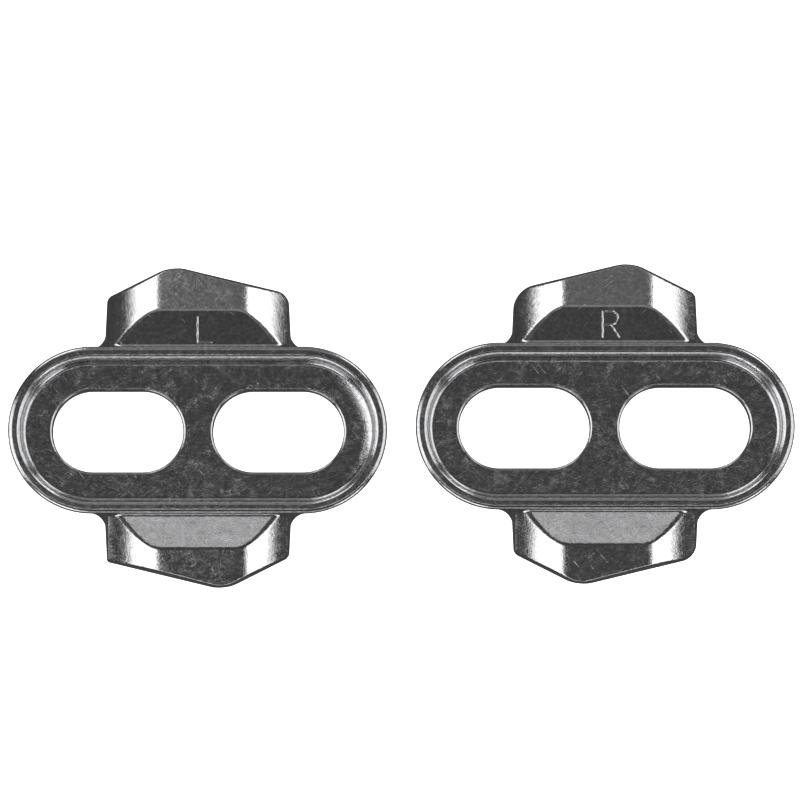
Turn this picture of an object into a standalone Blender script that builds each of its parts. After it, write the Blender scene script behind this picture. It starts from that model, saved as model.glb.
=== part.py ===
"""A left and right pair of shoe cleats for a clipless bicycle pedal, lying pedal side up.

Each cleat is one steel casting: an oval dish with two adjusting slots for its bolts, and a hooked wing
at the front and at the back that the pedal's sprung bars snap over. The right cleat is the left one's
mirror image. X runs across the shoe, +Y to the toe, and +Z from the sole towards the pedal.
"""

import math

import bmesh
import bpy
from mathutils import Matrix, Vector

MM = 0.001

# The two bolts of a standard cleat, and the slots that let it move sideways on them.
BOLT_PITCH = 14.0 * MM
SLOT_LENGTH = 11.4 * MM
SLOT_WIDTH = 7.1 * MM
SLOT_LIP = 0.35 * MM

# The oval dish. Its outside narrows a little towards the sole.
OVAL_LENGTH = 33.02 * MM
OVAL_WIDTH = 14.58 * MM
HEIGHT = 7.6 * MM
FLOOR = 3.6 * MM
RIM_WIDTH = 0.97 * MM
RIM_OUTER_ROUND = 0.42 * MM
RIM_INNER_ROUND = 0.22 * MM
POCKET_DRAFT = 0.22 * MM
POCKET_FILLET = 0.35 * MM
SOLE_TAPER = 0.25 * MM
SOLE_CHAMFER = 0.2 * MM

# The wings' outline, seen from above: nearly straight sides, then two unequal slopes up to a blunt tip.
WING_HALF_WIDTH = 8.0 * MM
SIDE_FLARE = 0.06
SHOULDER_Y = 11.15 * MM
TIP_X = -2.3 * MM
FRONT_TIP_Y = 14.5 * MM
BACK_TIP_Y = 13.88 * MM
SHORT_SLOPE = math.radians(26.4)
LONG_SLOPE = math.radians(13.4)
TIP_RADIUS = 3.2 * MM
SHORT_CORNER_RADIUS = 0.4 * MM
FRONT_LONG_CORNER_RADIUS = 1.6 * MM
BACK_LONG_CORNER_RADIUS = 0.7 * MM
WING_ROOT_Y = OVAL_WIDTH / 2 - 0.75 * MM
SIDE_DRAFT = math.radians(7)

# The wings' height: a nearly level ledge beside the dish, then a ramp, with flanks that roll down.
LEDGE_Z = 7.0 * MM
LEDGE_SLOPE = math.radians(5)
FRONT_LEDGE_LENGTH = 3.2 * MM
BACK_LEDGE_LENGTH = 3.0 * MM
RAMP_SLOPE = math.radians(31)
FLANK_START = 3.75 * MM
FLANK_ANGLES = (13, 40)
FLANK_STEPS = 14
HOOK_Z = 3.2 * MM
HOOK_SLOPE = math.radians(6)

# The small webs in the corners between the wings' sides and the dish.
WEB_RADIUS = 1.3 * MM
WEB_TOP = 4.9 * MM

LETTER_SIZE = 3.5 * MM
LETTER_THIN = -0.045 * MM
LETTER_DEPTH = 0.15 * MM
LETTER_X = -0.25 * MM
LETTER_Y = 7.6 * MM

# How the pair lies: side by side, the right one a touch further forward.
PAIR_SPACING = 35.46 * MM
PAIR_STAGGER = 0.35 * MM

ARC_STEPS = 24
ROUND_STEPS = 4
STEEL = ("polished_steel", (0.56, 0.56, 0.57, 1.0), 0.22)


def clear_scene():
    for obj in list(bpy.data.objects):
        bpy.data.objects.remove(obj, do_unlink=True)


def steel_material():
    name, colour, roughness = STEEL
    material = bpy.data.materials.new(name)
    material.use_nodes = True
    shader = material.node_tree.nodes["Principled BSDF"]
    shader.inputs["Base Color"].default_value = colour
    shader.inputs["Metallic"].default_value = 1.0
    shader.inputs["Roughness"].default_value = roughness
    return material


def new_object(name, bm):
    bmesh.ops.recalc_face_normals(bm, faces=bm.faces)
    mesh = bpy.data.meshes.new(name)
    bm.to_mesh(mesh)
    bm.free()
    obj = bpy.data.objects.new(name, mesh)
    bpy.context.scene.collection.objects.link(obj)
    return obj


def as_cutter(obj):
    obj.hide_render = True
    obj.display_type = "WIRE"
    return obj


def oval_points(half_straight, radius, z, centre_x=0.0):
    """An oval of two half circles joined by straight sides, anticlockwise from its right end's foot."""
    points = []
    for side in (1, -1):
        for step in range(ARC_STEPS + 1):
            turn = math.pi * (step / ARC_STEPS - 0.5)
            x = side * (half_straight + radius * math.cos(turn))
            points.append(Vector((centre_x + x, side * radius * math.sin(turn), z)))
    return points


def loft(bm, rings):
    """A closed solid through rings of points, which all have the same number of points."""
    loops = [[bm.verts.new(point) for point in ring] for ring in rings]
    for low, high in zip(loops, loops[1:]):
        for i in range(len(low)):
            j = (i + 1) % len(low)
            bm.faces.new((low[i], low[j], high[j], high[i]))
    bm.faces.new(reversed(loops[0]))
    bm.faces.new(loops[-1])


def quarter_turn(centre_inset, centre_z, radius, start_degrees, turn_degrees):
    """(inset, z) pairs along a quarter circle; 0 degrees is outwards, 90 up and 180 inwards."""
    pairs = []
    for step in range(ROUND_STEPS + 1):
        turn = math.radians(start_degrees + turn_degrees * step / ROUND_STEPS)
        pairs.append((centre_inset - radius * math.cos(turn), centre_z + radius * math.sin(turn)))
    return pairs


def dish_profile():
    """The dish's section as (inset from the widest outline, z), from the sole over the rim to the floor."""
    outer, inner, fillet = RIM_OUTER_ROUND, RIM_INNER_ROUND, POCKET_FILLET
    profile = [(SOLE_TAPER + SOLE_CHAMFER, 0.0), (SOLE_TAPER, SOLE_CHAMFER)]
    profile += quarter_turn(outer, HEIGHT - outer, outer, 0, 90)
    profile += quarter_turn(RIM_WIDTH - inner, HEIGHT - inner, inner, 90, 90)
    profile += quarter_turn(RIM_WIDTH + POCKET_DRAFT + fillet, FLOOR + fillet, fillet, 0, -90)
    return profile


def dish():
    """The oval dish, before its slots are cut."""
    half_straight = (OVAL_LENGTH - OVAL_WIDTH) / 2
    rings = [oval_points(half_straight, OVAL_WIDTH / 2 - inset, z) for inset, z in dish_profile()]
    bm = bmesh.new()
    loft(bm, rings)
    return bm


def slot_cutter(centre_x):
    """One bolt slot, flared by the rounded lip at the pocket's floor."""
    half_straight = (SLOT_LENGTH - SLOT_WIDTH) / 2
    sections = [(0.0, -MM)]
    for inset, z in quarter_turn(0.0, FLOOR - SLOT_LIP, SLOT_LIP, 0, 90):
        sections.append((SLOT_LIP + inset, z))
    sections.append((SLOT_LIP, FLOOR + MM))
    rings = [oval_points(half_straight, SLOT_WIDTH / 2 + grow, z, centre_x) for grow, z in sections]
    bm = bmesh.new()
    loft(bm, rings)
    return bm


def trim(bm, point, outward):
    """Cuts away what lies beyond a plane, and closes the cut."""
    geometry = bm.verts[:] + bm.edges[:] + bm.faces[:]
    cut = bmesh.ops.bisect_plane(
        bm, geom=geometry, dist=1e-8, plane_co=point, plane_no=outward.normalized(), clear_outer=True
    )
    edges = [item for item in cut["geom_cut"] if isinstance(item, bmesh.types.BMEdge)]
    if edges:
        bmesh.ops.edgeloop_fill(bm, edges=edges)


def round_corner(corner, normal_in, normal_out, radius, steps):
    """(point, normal) of upright planes that round the outline's corner between two straight edges."""
    centre = corner - (normal_in + normal_out) * (radius / (1 + normal_in.dot(normal_out)))
    planes = []
    for step in range(1, steps):
        normal = normal_in.slerp(normal_out, step / steps)
        planes.append((centre + normal * radius, normal))
    return planes


def crossing(tip, slope, side_point, side_normal):
    """Where one of the tip's two slopes meets the outline's side."""
    along = Vector((slope.y, -slope.x))
    return tip + along * ((side_point - tip).dot(side_normal) / along.dot(side_normal))


def outline_planes(tip_y, long_corner_radius):
    """(point, outward normal) of the upright planes round a left cleat's front wing, seen from above."""
    tip = Vector((TIP_X, tip_y))
    to_left, to_right = Vector((-1, SIDE_FLARE)).normalized(), Vector((1, SIDE_FLARE)).normalized()
    short_slope = Vector((-math.sin(SHORT_SLOPE), math.cos(SHORT_SLOPE)))
    long_slope = Vector((math.sin(LONG_SLOPE), math.cos(LONG_SLOPE)))
    left = crossing(tip, short_slope, Vector((-WING_HALF_WIDTH, SHOULDER_Y)), to_left)
    right = crossing(tip, long_slope, Vector((WING_HALF_WIDTH, SHOULDER_Y)), to_right)
    planes = [(left, to_left), (tip, short_slope), (tip, long_slope), (right, to_right)]
    planes += round_corner(left, to_left, short_slope, SHORT_CORNER_RADIUS, 4)
    planes += round_corner(tip, short_slope, long_slope, TIP_RADIUS, 8)
    planes += round_corner(right, long_slope, to_right, long_corner_radius, 6)
    return planes


def flank_angle(x):
    """How steeply the ramp's surface falls sideways, at x from the middle."""
    first, last = FLANK_ANGLES
    share = (x - FLANK_START) / (WING_HALF_WIDTH - FLANK_START)
    return math.radians(first + (last - first) * share)


def flank_points():
    """(x, drop below the ramp's middle, tangent) at even steps across one flank."""
    step = (WING_HALF_WIDTH - FLANK_START) / FLANK_STEPS
    points, drop, x = [(FLANK_START, 0.0, 0.0)], 0.0, FLANK_START
    for _ in range(FLANK_STEPS + 1):
        tangent = math.tan(flank_angle(x + step / 2))
        points.append((x, drop, tangent))
        drop += tangent * step
        x += step
    return points


def wing(tip_y, ledge_length, long_corner_radius):
    """A left cleat's front wing: a block trimmed by every plane of its outline, crown and hook."""
    ledge_end_y = OVAL_WIDTH / 2 + ledge_length
    ledge_end_z = LEDGE_Z - ledge_length * math.tan(LEDGE_SLOPE)
    bm = bmesh.new()
    bmesh.ops.create_cube(bm, size=60 * MM)
    trim(bm, Vector((0, WING_ROOT_Y, 0)), Vector((0, -1, 0)))
    for point, normal in outline_planes(tip_y, long_corner_radius):
        outward = Vector((normal.x * math.cos(SIDE_DRAFT), normal.y * math.cos(SIDE_DRAFT), math.sin(SIDE_DRAFT)))
        trim(bm, Vector((point.x, point.y, HOOK_Z)), outward)
    trim(bm, Vector((0, ledge_end_y, ledge_end_z)), Vector((0, math.tan(LEDGE_SLOPE), 1)))
    for x, drop, tangent in flank_points():
        for side in (1, -1):
            crest = Vector((side * x, ledge_end_y, ledge_end_z - drop))
            trim(bm, crest, Vector((side * tangent, math.tan(RAMP_SLOPE), 1)))
    trim(bm, Vector((0, tip_y, HOOK_Z)), Vector((0, -math.tan(HOOK_SLOPE), -1)))
    return bm


def web(side, tip_y):
    """The fillet in the corner between one side of the front wing and the dish."""
    inside_x, wall_y = WING_HALF_WIDTH - 0.5 * MM, OVAL_WIDTH / 2
    centre = Vector((WING_HALF_WIDTH + WEB_RADIUS, wall_y + WEB_RADIUS))
    outline = [Vector((inside_x, WING_ROOT_Y)), Vector((centre.x, WING_ROOT_Y))]
    for step in range(7):
        turn = math.radians(270 - 15 * step)
        outline.append(centre + WEB_RADIUS * Vector((math.cos(turn), math.sin(turn))))
    outline.append(Vector((inside_x, centre.y)))
    bottom = HOOK_Z + (tip_y - WING_ROOT_Y) * math.tan(HOOK_SLOPE) + 0.1 * MM
    bm = bmesh.new()
    loft(bm, [[Vector((side * p.x, p.y, z)) for p in outline] for z in (bottom, WEB_TOP)])
    return bm


def letter_cutter(text, name):
    """An engraving cutter: an upright letter on the front wing's ledge."""
    curve = bpy.data.curves.new(name, "FONT")
    curve.body = text
    curve.size = LETTER_SIZE
    curve.offset = LETTER_THIN
    curve.extrude = LETTER_DEPTH
    curve.resolution_u = 4
    writing = bpy.data.objects.new(name, curve)
    mesh = bpy.data.meshes.new_from_object(writing)
    bpy.data.objects.remove(writing)
    slope = math.tan(LEDGE_SLOPE)
    ledge_z = LEDGE_Z - (LETTER_Y - OVAL_WIDTH / 2) * slope
    tilt = Matrix.Rotation(-LEDGE_SLOPE, 4, "X")
    mesh.transform(Matrix.Translation((LETTER_X, LETTER_Y, ledge_z)) @ tilt)
    bm = bmesh.new()
    bm.from_mesh(mesh)
    bmesh.ops.remove_doubles(bm, verts=bm.verts, dist=1e-6)
    return new_object(name, bm)


def turned(bm, hand, half_turn):
    """Mirrors a left cleat's shape for the right one, and turns a front wing round to the back."""
    if hand < 0:
        bmesh.ops.transform(bm, matrix=Matrix.Diagonal((-1, 1, 1, 1)), verts=bm.verts)
    if half_turn:
        bmesh.ops.transform(bm, matrix=Matrix.Rotation(math.pi, 4, "Z"), verts=bm.verts)
    return bm


def add_boolean(obj, operation, other):
    modifier = obj.modifiers.new(f"{operation.lower()}_{other.name}", "BOOLEAN")
    modifier.operation = operation
    modifier.solver = "EXACT"
    modifier.object = other


def cleat(name, hand, letter, location, material):
    """One cleat, marked for its foot. hand is 1 for the left cleat and -1 for the right one."""
    body = new_object(name, turned(dish(), hand, False))
    joined = []
    ends = (
        ("front", False, FRONT_TIP_Y, FRONT_LEDGE_LENGTH, FRONT_LONG_CORNER_RADIUS),
        ("back", True, BACK_TIP_Y, BACK_LEDGE_LENGTH, BACK_LONG_CORNER_RADIUS),
    )
    for end, half_turn, tip_y, ledge_length, corner_radius in ends:
        shape = turned(wing(tip_y, ledge_length, corner_radius), hand, half_turn)
        joined.append(new_object(f"{name}_{end}_wing", shape))
        for side in (1, -1):
            corner = turned(web(side, tip_y), hand, half_turn)
            joined.append(new_object(f"{name}_{end}_web_{side}", corner))
    for shape in joined:
        add_boolean(body, "UNION", shape)
    cutters = [
        new_object(f"{name}_slot_{side}", slot_cutter(side * BOLT_PITCH / 2)) for side in (1, -1)
    ]
    cutters.append(letter_cutter(letter, f"{name}_letter"))
    for shape in cutters:
        add_boolean(body, "DIFFERENCE", shape)
    for helper in joined + cutters:
        as_cutter(helper)
        helper.parent = body
    body.location = location
    body.data.materials.append(material)
    body.data.shade_smooth()
    body.data.set_sharp_from_angle(angle=math.radians(30))


def main():
    clear_scene()
    steel = steel_material()
    half_x, half_y = PAIR_SPACING / 2, PAIR_STAGGER / 2
    cleat("left_cleat", 1, "L", (-half_x, -half_y, 0), steel)
    cleat("right_cleat", -1, "R", (half_x, half_y, 0), steel)


main()
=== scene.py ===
# %% [markdown]
# # A pair of clipless-pedal cleats
# Two polished steel castings lie pedal side up on a bright light table. Everything starts from the packed
# CAD model: its nodes say where each cleat is and which body it moves with. This script adds what the CAD
# leaves out: the rounded edges of a tumbled casting, its worn polish, and the studio around it.

import math

import bmesh
import bpy
import numpy as np
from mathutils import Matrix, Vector


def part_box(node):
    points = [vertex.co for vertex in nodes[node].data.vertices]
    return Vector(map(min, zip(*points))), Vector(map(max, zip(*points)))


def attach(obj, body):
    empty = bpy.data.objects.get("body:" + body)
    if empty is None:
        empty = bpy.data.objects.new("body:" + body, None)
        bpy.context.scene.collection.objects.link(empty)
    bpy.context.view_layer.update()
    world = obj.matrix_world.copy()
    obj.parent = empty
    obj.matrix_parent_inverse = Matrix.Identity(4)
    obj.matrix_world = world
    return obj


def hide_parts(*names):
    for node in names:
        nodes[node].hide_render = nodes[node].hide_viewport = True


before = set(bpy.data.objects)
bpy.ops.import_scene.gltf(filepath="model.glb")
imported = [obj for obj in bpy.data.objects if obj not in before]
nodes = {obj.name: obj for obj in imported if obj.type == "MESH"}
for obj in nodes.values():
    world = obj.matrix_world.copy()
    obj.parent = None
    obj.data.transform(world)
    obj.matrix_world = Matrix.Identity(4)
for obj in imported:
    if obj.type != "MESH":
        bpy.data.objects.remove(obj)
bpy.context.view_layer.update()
MM = 0.001
print("CAD nodes:", sorted(nodes))

# %% [markdown]
# ## Where each cleat is
# The cleats' shapes are written once, for a left cleat centred on the origin, in millimetres. The right
# cleat is its mirror image. Typing in two places would work too, but then a change to the CAD would leave
# the castings behind, so each place is read from its CAD node's box.

# %% Places
FRONT_REACH, BACK_REACH = 14.5, 13.88


def node_middle(name):
    """The middle of the dish. The front wing reaches further out than the back one."""
    low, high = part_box(name)
    box_middle = np.array([(low.x + high.x) / 2, (low.y + high.y) / 2, 0.0]) / MM
    return box_middle - (0, (FRONT_REACH - BACK_REACH) / 2, 0)


middles = {name: node_middle(name) for name in ("left_cleat", "right_cleat")}
print("cleat middles in mm:", {name: middle.round(3).tolist() for name, middle in middles.items()})

# %% [markdown]
# ## How a rounded casting is described
# A casting's edges and corners are all soft: the wax pattern has radii, and tumbling in ceramic chips wears
# them further. Bevels on a mesh struggle where a wing, a rim and a fillet all meet. A distance function
# doesn't: each plain shape is a formula for how far a point lies outside it, and two shapes are joined or
# cut with a circular fillet of any radius. These two formulas do the rounding.

# %% Rounded cuts and joins
def cut_to_both(a, b, radius):
    """Inside both shapes, with the edge where their surfaces meet rounded off."""
    over_a, over_b = np.maximum(radius + a, 0), np.maximum(radius + b, 0)
    return np.minimum(-radius, np.maximum(a, b)) + np.hypot(over_a, over_b)


def joined(a, b, radius):
    """Inside either shape, with a fillet in the corner where their surfaces meet."""
    return -cut_to_both(-a, -b, radius)


print(f"a square edge rounded by 1 mm loses {cut_to_both(0.0, 0.0, 1.0):.2f} mm at its corner")

# %% [markdown]
# The cleat's outline is made of only three plain shapes: ovals, straight edges and pen strokes. A smooth
# step blends one value into another where the real surface changes gradually.

# %% Plain shapes
def oval(x, y, half_straight, radius):
    """Distance outside an oval: two half circles joined by straight sides along x."""
    return np.hypot(np.maximum(np.abs(x) - half_straight, 0), y) - radius


def half_plane(x, y, point, outward):
    """Distance outside a straight edge through a point."""
    length = math.hypot(*outward)
    return ((x - point[0]) * outward[0] + (y - point[1]) * outward[1]) / length


def segment(x, y, start, end):
    """Distance to a straight stroke between two points."""
    dx, dy = end[0] - start[0], end[1] - start[1]
    along = np.clip(((x - start[0]) * dx + (y - start[1]) * dy) / (dx * dx + dy * dy), 0, 1)
    return np.hypot(x - start[0] - along * dx, y - start[1] - along * dy)


def smooth_step(value, low, high):
    """0 up to the low value and 1 from the high one, with an S-shaped rise between them."""
    share = np.clip((value - low) / (high - low), 0, 1)
    return share * share * (3 - 2 * share)


# %% [markdown]
# ## The pocket and the slots
# The bolt heads sink into an oval pocket, below the pedal's reach. A casting has to leave its mould, so the
# pocket's wall leans outwards a little, and it meets the floor in a fillet. Its mouth is a narrow chamfer.
# Two slots let the cleat shift sideways on bolts 14 mm apart. All of these could be boolean cuts, but then
# their lips would stay sharp. At one end of the left cleat the floor curves up slightly towards the wall;
# end_lift says by how much.

# %% Pocket and slots
HEIGHT, FLOOR = 7.6, 3.6
OVAL_STRAIGHT, OVAL_RADIUS = 9.22, 7.29
RIM_WIDTH, POCKET_DRAFT, POCKET_FILLET = 1.1, 0.1, 0.32
CHAMFER_WIDTH, CHAMFER_LEAN, CHAMFER_DEPTH, CHAMFER_FILLET = 0.84, 0.8, 1, 0.05
COVE_WIDTH, COVE_ENDS = 2.6, (10.5, 14.5)
BOLT_X, SLOT_STRAIGHT, SLOT_RADIUS = 7, 2.15, 3.55


def pocket(x, y, z, end_lift):
    sink = np.clip((HEIGHT - z) / (HEIGHT - FLOOR), 0, 1)
    wall = oval(x, y, OVAL_STRAIGHT, OVAL_RADIUS - RIM_WIDTH - POCKET_DRAFT * sink)
    cove = np.maximum(0, oval(x, y, OVAL_STRAIGHT, OVAL_RADIUS - COVE_WIDTH)) * smooth_step(x, *COVE_ENDS)
    floor = FLOOR + end_lift * cove * cove - z
    mouth = oval(x, y, OVAL_STRAIGHT, OVAL_RADIUS - CHAMFER_WIDTH) * math.cos(CHAMFER_LEAN)
    mouth = mouth - (z - HEIGHT) * math.sin(CHAMFER_LEAN)
    mouth = np.maximum(mouth, HEIGHT - CHAMFER_DEPTH - z)
    return joined(cut_to_both(wall, floor, POCKET_FILLET), mouth, CHAMFER_FILLET)


def slots(x, y):
    left_slot = oval(x + BOLT_X, y, SLOT_STRAIGHT, SLOT_RADIUS)
    right_slot = oval(x - BOLT_X, y, SLOT_STRAIGHT, SLOT_RADIUS)
    return np.minimum(right_slot, left_slot)


print(f"pocket {HEIGHT - FLOOR:.1f} mm deep, slots {2 * (SLOT_STRAIGHT + SLOT_RADIUS):.1f} mm long")

# %% [markdown]
# ## The dish
# The dish is a solid oval 33 mm long with the pocket and the slots taken out. Its rim has a generous outer
# radius where it slides on the pedal's body, and its side narrows a little towards the sole.

# %% Dish
SOLE_TAPER, SOLE_EDGE_RADIUS = 0.25, 0.25
RIM_OUTER_RADIUS, RIM_INNER_RADIUS, SLOT_LIP_RADIUS = 0.42, 0.06, 0.24


def dish(x, y, z, end_lift):
    depth = np.clip((HEIGHT - z) / HEIGHT, 0, 1)
    side = oval(x, y, OVAL_STRAIGHT, OVAL_RADIUS - SOLE_TAPER * depth)
    block = cut_to_both(cut_to_both(side, z - HEIGHT, RIM_OUTER_RADIUS), -z, SOLE_EDGE_RADIUS)
    shell = cut_to_both(block, -pocket(x, y, z, end_lift), RIM_INNER_RADIUS)
    return cut_to_both(shell, -slots(x, y), SLOT_LIP_RADIUS)


print(f"dish {2 * (OVAL_STRAIGHT + OVAL_RADIUS):.2f} by {2 * OVAL_RADIUS:.2f} mm")

# %% [markdown]
# ## The wings' outline
# The hooked wings at the front and back snap over the pedal's two sprung bars. Seen from above each has
# straight sides and two unequal slopes up to a blunt tip, so that the foot's angle sets when the cleat
# releases. The outline is where four straight edges overlap, each corner rounded by its own radius.

# %% Wing outline
WING_HALF_WIDTH, SHOULDER_Y, TIP_X = 8.0, 11.15, -2.3
SHORT_SLOPE, LONG_SLOPE, SIDE_FLARE = math.radians(26.4), math.radians(13.4), 0.06
TIP_RADIUS, SHORT_CORNER_RADIUS = 0.8, 0.4


def wing_outline(u, v, grow, tip_y, corner):
    """The wing from above: u across it and v outwards from the cleat's middle, short slope on the left."""
    short = half_plane(u, v, (TIP_X, tip_y), (-math.sin(SHORT_SLOPE), math.cos(SHORT_SLOPE)))
    long = half_plane(u, v, (TIP_X, tip_y), (math.sin(LONG_SLOPE), math.cos(LONG_SLOPE)))
    slopes = cut_to_both(short, long, TIP_RADIUS)
    left = half_plane(u, v, (-WING_HALF_WIDTH, SHOULDER_Y), (-1, SIDE_FLARE))
    right = half_plane(u, v, (WING_HALF_WIDTH, SHOULDER_Y), (1, SIDE_FLARE))
    return cut_to_both(cut_to_both(slopes, left, SHORT_CORNER_RADIUS), right, corner) - grow


print(f"wings {2 * WING_HALF_WIDTH:.0f} mm wide at the shoulders")

# %% [markdown]
# ## How the flanks roll down
# Across its width a wing's ramp is flat in the middle and then curves down ever more steeply to both sides,
# which is what makes the two bright bands on it. A circular arc would be simpler, but its steepness starts
# with a jump. Here the steepness itself is drawn, and summing it up gives the drop.

# %% Flanks
FLANK_START, FLANK_END, FLANK_STEPS = 3.0, 9.5, 3000
FLANK_ANGLES, FLANK_ONSET = (math.radians(13), math.radians(40)), 0.4
flank_x = np.linspace(FLANK_START, FLANK_END, FLANK_STEPS)
flank_share = (flank_x - FLANK_START) / (WING_HALF_WIDTH - FLANK_START)
flank_angle = FLANK_ANGLES[0] * smooth_step(flank_share, 0, FLANK_ONSET)
flank_angle = flank_angle + (FLANK_ANGLES[1] - FLANK_ANGLES[0]) * flank_share
flank_drop = np.concatenate([[0], np.cumsum(np.tan(flank_angle))[:-1] * (flank_x[1] - flank_x[0])])
print(f"a flank drops {np.interp(WING_HALF_WIDTH, flank_x, flank_drop):.2f} mm at the wing's side")

# %% [markdown]
# ## The wings
# On the pedal side a nearly level ledge runs out from the dish, and then a ramp falls to the tip. Because
# the flanks roll down, the ledge's edge comes out D-shaped by itself. Underneath, the wing stands clear of
# the sole to leave room for the bar, a little more so towards the dish. The walls lean in by a mould's draft.

# %% Wings
LEDGE_Z, LEDGE_START, FRONT_LEDGE_END, BACK_LEDGE_END = 7.0, 7.3, 10.5, 10.3
LEDGE_SLOPE, RAMP_SLOPE, HOOK_SLOPE = math.radians(5), math.radians(31), math.radians(6)
WING_ROOT, HOOK_Z, SIDE_DRAFT = 6.9, 3.2, math.radians(6)
CREASE_RADIUS, CREASE_GROWTH, CREASE_SPREAD = 0.06, 0.16, (3.8, 7.0)
OUTLINE_EDGE_RADIUS, HOOK_EDGE_RADIUS = 0.13, 0.15


def crown(u, v, z, ledge_end):
    """The wing's top: the ledge and the ramp, whose crease is softer towards the sides."""
    ledge = (z - LEDGE_Z + (v - LEDGE_START) * math.tan(LEDGE_SLOPE)) * math.cos(LEDGE_SLOPE)
    ledge_end_z = LEDGE_Z - (ledge_end - LEDGE_START) * math.tan(LEDGE_SLOPE)
    drop = np.interp(np.abs(u), flank_x, flank_drop)
    ramp = (z - ledge_end_z + (v - ledge_end) * math.tan(RAMP_SLOPE) + drop) * math.cos(RAMP_SLOPE)
    crease = CREASE_RADIUS + CREASE_GROWTH * smooth_step(np.abs(u), *CREASE_SPREAD)
    return cut_to_both(ledge, ramp, crease)


def wing(u, v, z, tip_y, ledge_end, corner):
    outline = wing_outline(u, v, -(z - HOOK_Z) * math.tan(SIDE_DRAFT), tip_y, corner)
    hook = HOOK_Z + (tip_y - v) * math.tan(HOOK_SLOPE) - z
    body = cut_to_both(outline, crown(u, v, z, ledge_end), OUTLINE_EDGE_RADIUS)
    return np.maximum(cut_to_both(body, hook, HOOK_EDGE_RADIUS), WING_ROOT - v)


print(f"wings reach {FRONT_REACH} mm forwards and {BACK_REACH} mm back, {HOOK_Z} mm above the sole")

# %% [markdown]
# ## The side marks
# A letter pressed into the front ledge tells the left cleat from the right. A font's outline would have to
# be cut in as a boolean. Drawing each letter as a pen would, from straight strokes and one arc, keeps it in
# the same formula as everything else.

# %% Letters
L_FOOT, L_TOP, L_WIDTH = 7.65, 9.85, 1.2
R_FOOT, R_MIDDLE, R_TOP = 7.75, 8.85, 10.0
R_LEFT, R_BOWL_X, R_LEG_X = -0.2, 0.55, (0.5, 1.25)
FAR_AWAY = 9.0


def letter_l(x, y):
    upright = segment(x, y, (0, L_FOOT), (0, L_TOP))
    return np.minimum(upright, segment(x, y, (0, L_FOOT), (L_WIDTH, L_FOOT)))


def letter_r(x, y):
    upright = segment(x, y, (R_LEFT, R_FOOT), (R_LEFT, R_TOP))
    bars = segment(x, y, (R_LEFT, R_TOP), (R_BOWL_X, R_TOP))
    bars = np.minimum(bars, segment(x, y, (R_LEFT, R_MIDDLE), (R_BOWL_X, R_MIDDLE)))
    bowl_y, bowl_radius = (R_TOP + R_MIDDLE) / 2, (R_TOP - R_MIDDLE) / 2
    bowl = np.abs(np.hypot(x - R_BOWL_X, y - bowl_y) - bowl_radius)
    bowl = np.where(x > R_BOWL_X, bowl, FAR_AWAY)
    leg = segment(x, y, (R_LEG_X[0], R_MIDDLE), (R_LEG_X[1], R_FOOT))
    return np.minimum(np.minimum(upright, bars), np.minimum(bowl, leg))


print(f"letters {L_TOP - L_FOOT:.2f} and {R_TOP - R_FOOT:.2f} mm tall")

# %% [markdown]
# A pressed stroke is a shallow V with sloping walls. Tumbling wears its edges unevenly, so its width
# wanders by a few hundredths of a millimetre along the way.

# %% Grooves
GROOVE_LEAN, GROOVE_REACH, GROOVE_LIP_RADIUS = 0.68, 0.16, 0.015
STROKE_HALF_WIDTH, STROKE_WEAR = 0.065, 0.025


def groove(x, y, z, letter):
    ledge_z = LEDGE_Z - (y - LEDGE_START) * math.tan(LEDGE_SLOPE)
    stroke = letter(x, y)
    worn = STROKE_HALF_WIDTH + STROKE_WEAR * np.sin(9 * x + 2) * np.sin(7 * y)
    walls = (stroke - worn) * math.sin(GROOVE_LEAN) + (ledge_z - z) * math.cos(GROOVE_LEAN)
    return np.maximum(walls, stroke - GROOVE_REACH)


print(f"strokes about {2 * STROKE_HALF_WIDTH:.2f} mm wide at the top")

# %% [markdown]
# ## One whole cleat
# The wings join the dish with a small fillet along the rim. At the wings' sides it grows into a web, low
# down, where the casting needs strength. Both are one join whose radius changes from place to place.

# %% Cleat
RIM_FILLET, WEB_FILLET = 0.22, 1.1
WEB_START_U, WEB_FADE_Z, WEB_START_Y = (7.3, 8.3), (3.8, 5.8), (6.4, 7.0)


def join_radius(u, y, z):
    web = smooth_step(np.abs(u), *WEB_START_U) * (1 - smooth_step(z, *WEB_FADE_Z))
    return RIM_FILLET + WEB_FILLET * (web * smooth_step(np.abs(y), *WEB_START_Y))


def cleat(points, side, corners, end_lift, letter):
    """How far points lie outside a cleat. side is 1 for the left one and -1 for its mirror image."""
    x, y, z = points.T
    u = side * x
    radius = join_radius(u, y, z)
    body = dish(u, y, z, end_lift)
    body = joined(body, wing(u, y, z, FRONT_REACH, FRONT_LEDGE_END, corners[0]), radius)
    body = joined(body, wing(-u, -y, z, BACK_REACH, BACK_LEDGE_END, corners[1]), radius)
    return cut_to_both(body, -groove(x, y, z, letter), GROOVE_LIP_RADIUS)


bridge_middle = np.array([[0.0, 0.0, FLOOR / 2]])
bridge_half_width = -cleat(bridge_middle, 1, (1.0, 1.0), 0.0, letter_l)[0]
print(f"the bridge between the slots is {2 * bridge_half_width:.2f} mm wide at its narrowest")

# %% [markdown]
# ## From formula to surface
# Each CAD node is remeshed into small even quads, and every vertex then slides along the formula's slope
# onto its surface. Marching cubes would also turn a formula into a mesh, but it leaves slivers, and it
# wouldn't start from the CAD.

# %% Slide onto the formula
def slopes_of(distance, points, step=0.004):
    """The direction in which the distance grows at each point."""
    result = np.empty_like(points)
    for axis in range(3):
        nudge = np.zeros(3)
        nudge[axis] = step
        result[:, axis] = (distance(points + nudge) - distance(points - nudge)) / (2 * step)
    return result


def normals_of(distance, points):
    slope = slopes_of(distance, points, 0.01)
    return slope / np.linalg.norm(slope, axis=1, keepdims=True)


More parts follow.
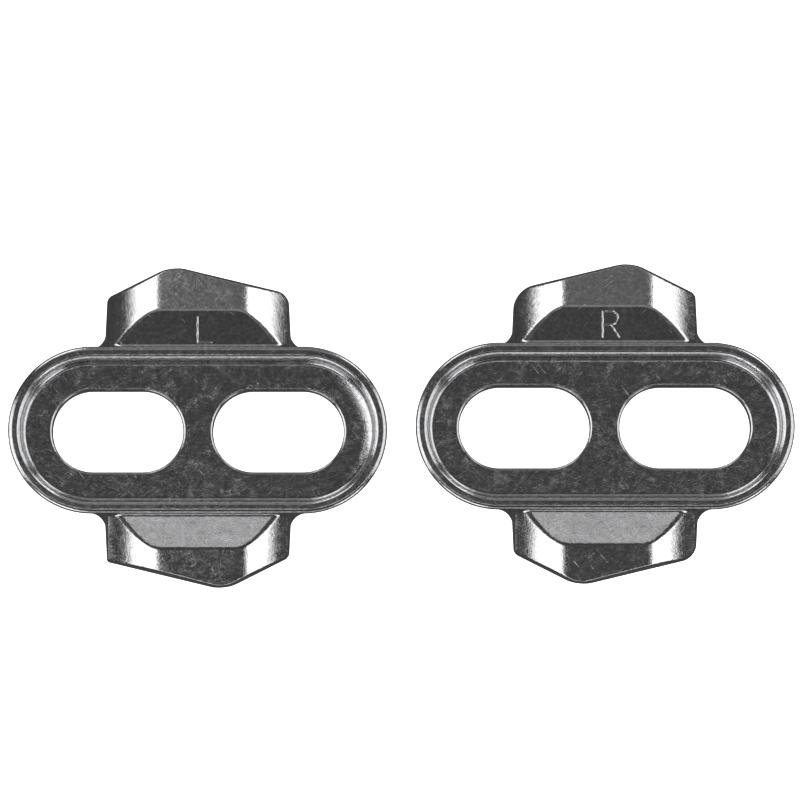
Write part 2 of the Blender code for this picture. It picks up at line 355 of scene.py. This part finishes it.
def slide_onto(distance, points, rounds=6):
    """Newton's method, with steps of no more than the limit so that no point jumps past a thin wall."""
    step_limit, least_steepness = 0.15, 0.2
    for _ in range(rounds):
        slope = slopes_of(distance, points)
        steepness = np.maximum((slope * slope).sum(1), least_steepness)
        move = (distance(points) / steepness)[:, None] * slope
        size = np.maximum(np.linalg.norm(move, axis=1, keepdims=True), 1e-9)
        points = points - move * np.minimum(1, step_limit / size)
    return points


def evened(points, edges, share):
    """Each point moved part of the way to the middle of its neighbours."""
    total = np.zeros_like(points)
    count = np.zeros(len(points))
    for a, b in ((0, 1), (1, 0)):
        np.add.at(total, edges[:, a], points[edges[:, b]])
        np.add.at(count, edges[:, a], 1)
    return points + share * (total / count[:, None] - points)


# %% [markdown]
# A mesh of one size everywhere is either too coarse for the small radii or too heavy for the flats. So the
# start is fairly coarse, the faces under a letter are split, and then every edge that bends too much is.

# %% Even quads
VOXEL = 0.155 * MM


def fine_copy(name):
    """The CAD node remeshed into small quads, as a mesh of its own."""
    source = nodes[name].copy()
    source.data = nodes[name].data.copy()
    bpy.context.scene.collection.objects.link(source)
    remesh = source.modifiers.new("even quads", "REMESH")
    remesh.mode = "VOXEL"
    remesh.voxel_size = VOXEL
    mesh = bpy.data.meshes.new_from_object(source.evaluated_get(bpy.context.evaluated_depsgraph_get()))
    bpy.data.objects.remove(source)
    return mesh


# %% Finer faces
BEND_LIMIT = math.radians(9)


def split_faces(mesh, low, high, cuts):
    """Splits the faces that lie between two corners seen from above, and no lower than the first one."""
    def chosen(face):
        at = face.calc_center_median()
        return low.x < at.x < high.x and low.y < at.y < high.y and at.z > low.z

    bm = bmesh.new()
    bm.from_mesh(mesh)
    edges = list(dict.fromkeys(edge for face in bm.faces if chosen(face) for edge in face.edges))
    bmesh.ops.subdivide_edges(bm, edges=edges, cuts=cuts, use_grid_fill=True)
    bm.to_mesh(mesh)
    bm.free()


def split_bent_edges(mesh, normals, edges):
    """Halves every edge across which the surface turns more than the limit."""
    turn = (normals[edges[:, 0]] * normals[edges[:, 1]]).sum(1)
    bent = np.flatnonzero(turn < math.cos(BEND_LIMIT))
    bm = bmesh.new()
    bm.from_mesh(mesh)
    bm.edges.ensure_lookup_table()
    bmesh.ops.subdivide_edges(bm, edges=[bm.edges[i] for i in bent], cuts=1, use_grid_fill=True)
    bm.to_mesh(mesh)
    bm.free()


# %% Read and write a mesh
def read_mesh(mesh, middle):
    """A mesh's points, in mm from the cleat's middle, and its edges."""
    points = np.empty(len(mesh.vertices) * 3)
    mesh.vertices.foreach_get("co", points)
    edges = np.empty(len(mesh.edges) * 2, np.int64)
    mesh.edges.foreach_get("vertices", edges)
    return points.reshape(-1, 3) / MM - middle, edges.reshape(-1, 2)


def write_mesh(mesh, points, middle):
    mesh.vertices.foreach_set("co", ((points + middle) * MM).ravel())


# %% [markdown]
# The pieces come together here. The points are slid and evened a few times, so that they spread out along
# the surface instead of bunching at its edges. The shading normals come from the formula too, so highlights
# run as smoothly as on the real radii, whatever the faces' size.

# %% Surface builder
LETTER_LOW, LETTER_HIGH, LETTER_CUTS = (-0.5, 7.3, 6.2), (1.5, 10.25), 3
EVENING_ROUNDS, SPLITTING_ROUNDS = 3, 2


def shaped_mesh(name, distance, middle):
    mesh = fine_copy(name)
    low, high = Vector(middle + LETTER_LOW) * MM, Vector(middle[:2] + LETTER_HIGH) * MM
    split_faces(mesh, low, high, LETTER_CUTS)
    points, edges = read_mesh(mesh, middle)
    points = slide_onto(distance, points)
    for _ in range(EVENING_ROUNDS):
        points = slide_onto(distance, evened(points, edges, 0.5), rounds=2)
    for _ in range(SPLITTING_ROUNDS):
        write_mesh(mesh, points, middle)
        split_bent_edges(mesh, normals_of(distance, points), edges)
        points, edges = read_mesh(mesh, middle)
        points = slide_onto(distance, points, rounds=3)
    write_mesh(mesh, points, middle)
    return mesh, points


def build_cleat(name, side, corners, end_lift, letter):
    def distance(at):
        return cleat(at, side, corners, end_lift, letter)

    mesh, points = shaped_mesh(name, distance, middles[name])
    mesh.materials.clear()
    mesh.shade_smooth()
    mesh.normals_split_custom_set_from_vertices(normals_of(distance, points).tolist())
    mesh.update()
    obj = bpy.data.objects.new(name + "_casting", mesh)
    bpy.context.scene.collection.objects.link(obj)
    left_over = np.abs(distance(points))
    print(f"{obj.name}: {len(mesh.polygons)} faces, off by {left_over.mean() * 1000:.2f} um on average,"
          f" {left_over.max() * 1000:.1f} um at most")
    return obj


# %% [markdown]
# ## Both castings
# No two castings come out of the tumbler alike. The two cleats' long corners are worn by different amounts,
# front and back, and only the left one's pocket floor curves up, at the end next to the right cleat.

# %% Both castings
left = build_cleat("left_cleat", 1, (1.0, 0.25), 0.10, letter_l)
right = build_cleat("right_cleat", -1, (1.65, 1.15), 0.0, letter_r)

# %% [markdown]
# ## Helpers for materials
# Colours are written as the hex values that a colour picker gives, and shaders want linear numbers. Texture
# scales are worked out from how often a pattern repeats in a real millimetre.

# %% Material helpers
def colour(hex_code):
    """An sRGB hex colour as the linear red, green, blue and alpha that the shader takes."""
    channels = [int(hex_code[i:i + 2], 16) / 255 for i in (0, 2, 4)]
    linear = [c / 12.92 if c <= 0.04045 else ((c + 0.055) / 1.055) ** 2.4 for c in channels]
    return (*linear, 1.0)


def add_node(tree, kind, settings=None, values=None, links=None):
    """Adds a node, sets its properties and its inputs' values, and links its inputs from other outputs."""
    node = tree.nodes.new(kind)
    for key, value in (settings or {}).items():
        setattr(node, key, value)
    for key, value in (values or {}).items():
        node.inputs[key].default_value = value
    for key, output in (links or {}).items():
        tree.links.new(output, node.inputs[key])
    return node


def new_material(name):
    material = bpy.data.materials.new(name)
    material.use_nodes = True
    return material, material.node_tree, material.node_tree.nodes["Principled BSDF"]


def per_mm(count):
    """Texture scale for a pattern that repeats this many times in a millimetre."""
    return count / MM


print("steel's light grey in linear numbers:", [round(c, 3) for c in colour("cfcfd0")])

# %% [markdown]
# ## Tumbled cast stainless steel
# The cleats are investment-cast stainless steel, finished in a tumbler full of ceramic chips and then
# burnished. The eye sees a dark mirror of the studio, slightly blurred, with cloudy patches where the chips
# reached less. The pocket is shielded from them and keeps more of the cast skin. One value of roughness would
# look like plastic film, so it varies in cloudy patches about a millimetre across, and finer specks.

# %% Steel: roughness
CLOUDS_PER_MM, POCKET_FADE = 0.9, (4.1 * MM, 3.65 * MM)
# Each of these is a range of the noise, and then the range of roughness that it stands for.
POLISHED = (0.35, 0.7), (0.10, 0.20)
AS_CAST = (0.5, 0.8), (0.12, 0.34)
SPECK = (0.3, 0.75), (-0.04, 0.07)


def from_to(before, after=(0.0, 1.0)):
    """Values that turn one range of numbers into another."""
    return {"From Min": before[0], "From Max": before[1], "To Min": after[0], "To Max": after[1]}


def steel_roughness(tree, place, grain):
    """Polished outside, more as cast on the pocket's floor, with cloudy patches and specks in both."""
    values = {"Scale": per_mm(CLOUDS_PER_MM), "Detail": 6, "Roughness": 0.7}
    clouds = add_node(tree, "ShaderNodeTexNoise", values=values, links={"Vector": place}).outputs["Fac"]
    height = add_node(tree, "ShaderNodeSeparateXYZ", links={"Vector": place}).outputs["Z"]
    in_pocket = add_node(tree, "ShaderNodeMapRange", {"interpolation_type": "SMOOTHSTEP"},
                         from_to(POCKET_FADE), {"Value": height})
    polished = add_node(tree, "ShaderNodeMapRange", {}, from_to(*POLISHED), {"Value": clouds})
    as_cast = add_node(tree, "ShaderNodeMapRange", {}, from_to(*AS_CAST), {"Value": clouds})
    speck = add_node(tree, "ShaderNodeMapRange", {}, from_to(*SPECK), {"Value": grain})
    mixed = {0: in_pocket.outputs["Result"], 2: polished.outputs["Result"], 3: as_cast.outputs["Result"]}
    base = add_node(tree, "ShaderNodeMix", {"data_type": "FLOAT"}, links=mixed)
    parts = {0: base.outputs[0], 1: speck.outputs["Result"]}
    return add_node(tree, "ShaderNodeMath", {"operation": "ADD"}, links=parts).outputs[0]


# %% [markdown]
# Stainless steel reflects a neutral grey, a little darker where the burnished skin is thinner. The change
# is faint, and it follows the same fine grain as the specks.

# %% Steel: colour
def steel_tone(tree, grain):
    share = add_node(tree, "ShaderNodeMapRange", values=from_to((0.3, 0.7)), links={"Value": grain})
    tones = {6: colour("b9b9bb"), 7: colour("cfcfd0")}
    tone = add_node(tree, "ShaderNodeMix", {"data_type": "RGBA"}, tones, {0: share.outputs["Result"]})
    return tone.outputs[2]


# %% [markdown]
# The surface isn't quite flat at any scale. A casting is wavy over a millimetre, its skin has an orange peel
# a quarter of that size, and burnishing leaves a fine grit texture. Handling adds a few long, thin scratches
# in two directions. Each layer is a bump of about a hundredth of a millimetre or less. They could be
# modelled, but they are far smaller than any face, and only the reflections show them.

# %% Steel: bumps
SKIN_LAYERS = (
    {"per_mm": 0.9, "detail": 2, "roughness": 0.5, "depth": 11e-6},
    {"per_mm": 4.0, "detail": 5, "roughness": 0.6, "depth": 7e-6},
    {"per_mm": 8.0, "detail": 2, "roughness": 0.5, "depth": 5e-6},
)
SCRATCH_TURNS, SCRATCH_SIZE, SCRATCH_DEPTH = (0.7, -0.9), (2.2 * MM, 0.12 * MM, 2.2 * MM), 5e-6
RAREST_STREAKS = (0.75, 0.82)


def steel_layers(tree, place):
    """(height, depth in metres) of each layer, from the casting's waviness to the scratches."""
    layers = []
    for skin in SKIN_LAYERS:
        values = {"Scale": per_mm(skin["per_mm"]), "Detail": skin["detail"], "Roughness": skin["roughness"]}
        noise = add_node(tree, "ShaderNodeTexNoise", values=values, links={"Vector": place})
        layers.append((noise.outputs["Fac"], skin["depth"]))
    for turn in SCRATCH_TURNS:
        values = {"Rotation": (0, 0, turn), "Scale": SCRATCH_SIZE}
        stretched = add_node(tree, "ShaderNodeMapping", {"vector_type": "TEXTURE"}, values, {"Vector": place})
        streaks = add_node(tree, "ShaderNodeTexNoise", values={"Scale": 1.0, "Detail": 1},
                           links={"Vector": stretched.outputs["Vector"]})
        scratch = add_node(tree, "ShaderNodeMapRange", values=from_to(RAREST_STREAKS, (0.0, -1.0)),
                           links={"Value": streaks.outputs["Fac"]})
        layers.append((scratch.outputs["Result"], SCRATCH_DEPTH))
    return layers


def steel_normal(tree, place):
    """Every layer as a bump on top of the ones before it."""
    links = {}
    for height, depth in steel_layers(tree, place):
        links["Height"] = height
        bump = add_node(tree, "ShaderNodeBump", values={"Strength": 1.0, "Distance": depth}, links=links)
        links["Normal"] = bump.outputs["Normal"]
    return links["Normal"]


# %% [markdown]
# The three parts meet in one metal shader. Its index of refraction stays at the default, as a metal's
# reflections come from its colour.

# %% Steel: the whole finish
GRAIN_PER_MM = 3.2


def tumbled_steel():
    material, tree, shader = new_material("tumbled_cast_stainless_steel")
    shader.inputs["Metallic"].default_value = 1.0
    place = add_node(tree, "ShaderNodeTexCoord").outputs["Object"]
    values = {"Scale": per_mm(GRAIN_PER_MM), "Detail": 4, "Roughness": 0.6}
    grain = add_node(tree, "ShaderNodeTexNoise", values=values, links={"Vector": place}).outputs["Fac"]
    tree.links.new(steel_roughness(tree, place, grain), shader.inputs["Roughness"])
    tree.links.new(steel_tone(tree, grain), shader.inputs["Base Color"])
    tree.links.new(steel_normal(tree, place), shader.inputs["Normal"])
    print(f"{material.name}: {len(tree.nodes)} nodes")
    return material


finish = tumbled_steel()

# %% [markdown]
# ## Onto the frame
# Each casting rides on its CAD body, so it moves with it, and stands in for its CAD node.

# %% Bodies
for obj, body, node in ((left, "left", "left_cleat"), (right, "right", "right_cleat")):
    obj.data.materials.append(finish)
    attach(obj, body)
    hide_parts(node)
    print(f"{obj.name} rides on {body}")

# %% [markdown]
# ## The light table
# Small shiny parts are often laid on a glowing sheet of opal acrylic, which gives pure white all round and
# no shadow. A white floor lit from above would need far more light and would show shadows. The table stays
# out of the steel's reflections, because those would bleach the outline that the eye follows.

# %% Light table
TABLE_RADIUS, TABLE_DROP, TABLE_GLOW = 1.5, 0.2 * MM, 1.5


def light_table():
    bpy.ops.mesh.primitive_circle_add(vertices=96, radius=TABLE_RADIUS, fill_type="NGON")
    table = bpy.context.object
    table.name = "light_table"
    table.location.z = -TABLE_DROP
    material, _, shader = new_material("opal_acrylic")
    shader.inputs["Base Color"].default_value = colour("f2f2f2")
    shader.inputs["Roughness"].default_value = 0.6
    shader.inputs["Emission Color"].default_value = colour("ffffff")
    shader.inputs["Emission Strength"].default_value = TABLE_GLOW
    table.data.materials.append(material)
    table.visible_glossy = False


light_table()
print(f"light table {2 * TABLE_RADIUS} m across")

# %% [markdown]
# ## The softboxes
# Polished metal has no look of its own: it shows what stands around it. Softboxes are therefore placed by
# the directions that they fill, seen from the cleats. Large ones at the left and right put the bright bands
# on the wings' flanks, and four smaller ones draw the rims' round ends. A studio would use cards and tents
# for this. Area lights do the same, and each one's power follows from its size and brightness.

# %% Softbox
def softbox(name, azimuths, heights, brightness, upright=True, distance=0.8):
    """A rectangular light that faces the cleats and fills a range of directions, in degrees.

    Azimuth 0 is at the toes (+Y) and 90 to the right (+X). Heights are elevations above the table.
    """
    low, high = (math.radians(height) for height in heights)
    light = bpy.data.lights.new(name, "AREA")
    light.shape = "RECTANGLE"
    light.size = 2 * distance * math.tan(math.radians(azimuths[1] - azimuths[0]) / 2)
    azimuth = math.radians(sum(azimuths) / 2)
    outward = Vector((math.sin(azimuth), math.cos(azimuth), 0))
    obj = bpy.data.objects.new(name, light)
    obj.rotation_mode = "QUATERNION"
    if upright:
        light.size_y = distance * (math.tan(high) - math.tan(low))
        obj.location = outward * distance
        obj.location.z = distance * (math.tan(high) + math.tan(low)) / 2
        obj.rotation_quaternion = outward.to_track_quat("Z", "Y")
    else:
        light.size_y = 2 * distance * math.tan((high - low) / 2)
        middle = (low + high) / 2
        towards = outward * math.cos(middle) + Vector((0, 0, math.sin(middle)))
        obj.location = towards * distance
        obj.rotation_quaternion = towards.to_track_quat("Z", "Y")
    light.energy = brightness * math.pi * light.size * light.size_y
    bpy.context.scene.collection.objects.link(obj)


# %% [markdown]
# The walls at the left and right light the flanks, and the four boxes between them the rims' corners. The
# front is kept dim, so that the ramps there stay dark. The overhead strip is what the nearly level back
# ledges mirror, and the low lights at the front and back show only on rounded edges.

# %% The studio's lights
softbox("left_wall", (238, 290), (-5, 72), 1.6)
softbox("right_wall", (58, 120), (-5, 68), 1.3)
softbox("front_left_box", (318, 350), (9, 30), 2.5)
softbox("front_right_box", (24, 49), (6, 30), 2.5)
softbox("back_left_box", (190, 225), (9, 32), 2.5)
softbox("back_right_box", (134, 156), (9, 32), 2.5)
softbox("front_horizon", (325, 395), (-6, 5), 0.6)
softbox("front_wall", (325, 395), (5, 66), 0.10, distance=0.85)
softbox("front_high", (335, 385), (38, 66), 0.14, distance=0.75)
softbox("back_low", (156, 191), (5, 16), 1.3)
softbox("overhead_strip", (150, 210), (79, 84), 1.15, upright=False)
print("softboxes:", len(bpy.data.lights))

# %% [markdown]
# Between the lights is a dim grey room. It is what the level surfaces reflect, so it sets how dark the
# pocket's floor is.

# %% Room
ROOM_GREY = colour("4c4c4c")
world = bpy.data.worlds.new("studio")
world.use_nodes = True
world.node_tree.nodes["Background"].inputs["Color"].default_value = ROOM_GREY
world.node_tree.nodes["Background"].inputs["Strength"].default_value = 1.0
bpy.context.scene.world = world
print(f"room's grey in linear numbers: {ROOM_GREY[0]:.3f}")

# %% [markdown]
# ## The camera
# The camera looks almost straight down, tilted by two degrees. It stands far away with a long lens, so the
# two cleats show their tops and hardly any of their sides.

# %% Camera
CAMERA_TILT = math.radians(2.0)
CAMERA_DISTANCE = 1.4
VIEW_WIDTH = 69.57 * MM
target = Vector((-0.12, 2.43, HEIGHT)) * MM
camera = bpy.data.cameras.new("camera")
camera.sensor_width = 36
camera.lens = camera.sensor_width * CAMERA_DISTANCE / VIEW_WIDTH
camera_object = bpy.data.objects.new("camera", camera)
back = Vector((0, -math.sin(CAMERA_TILT), math.cos(CAMERA_TILT)))
camera_object.location = target + back * CAMERA_DISTANCE
camera_object.rotation_euler = (CAMERA_TILT, 0, 0)
bpy.context.scene.collection.objects.link(camera_object)
bpy.context.scene.camera = camera_object
bpy.context.scene.view_settings.view_transform = "Standard"
print(f"lens {camera.lens:.0f} mm")
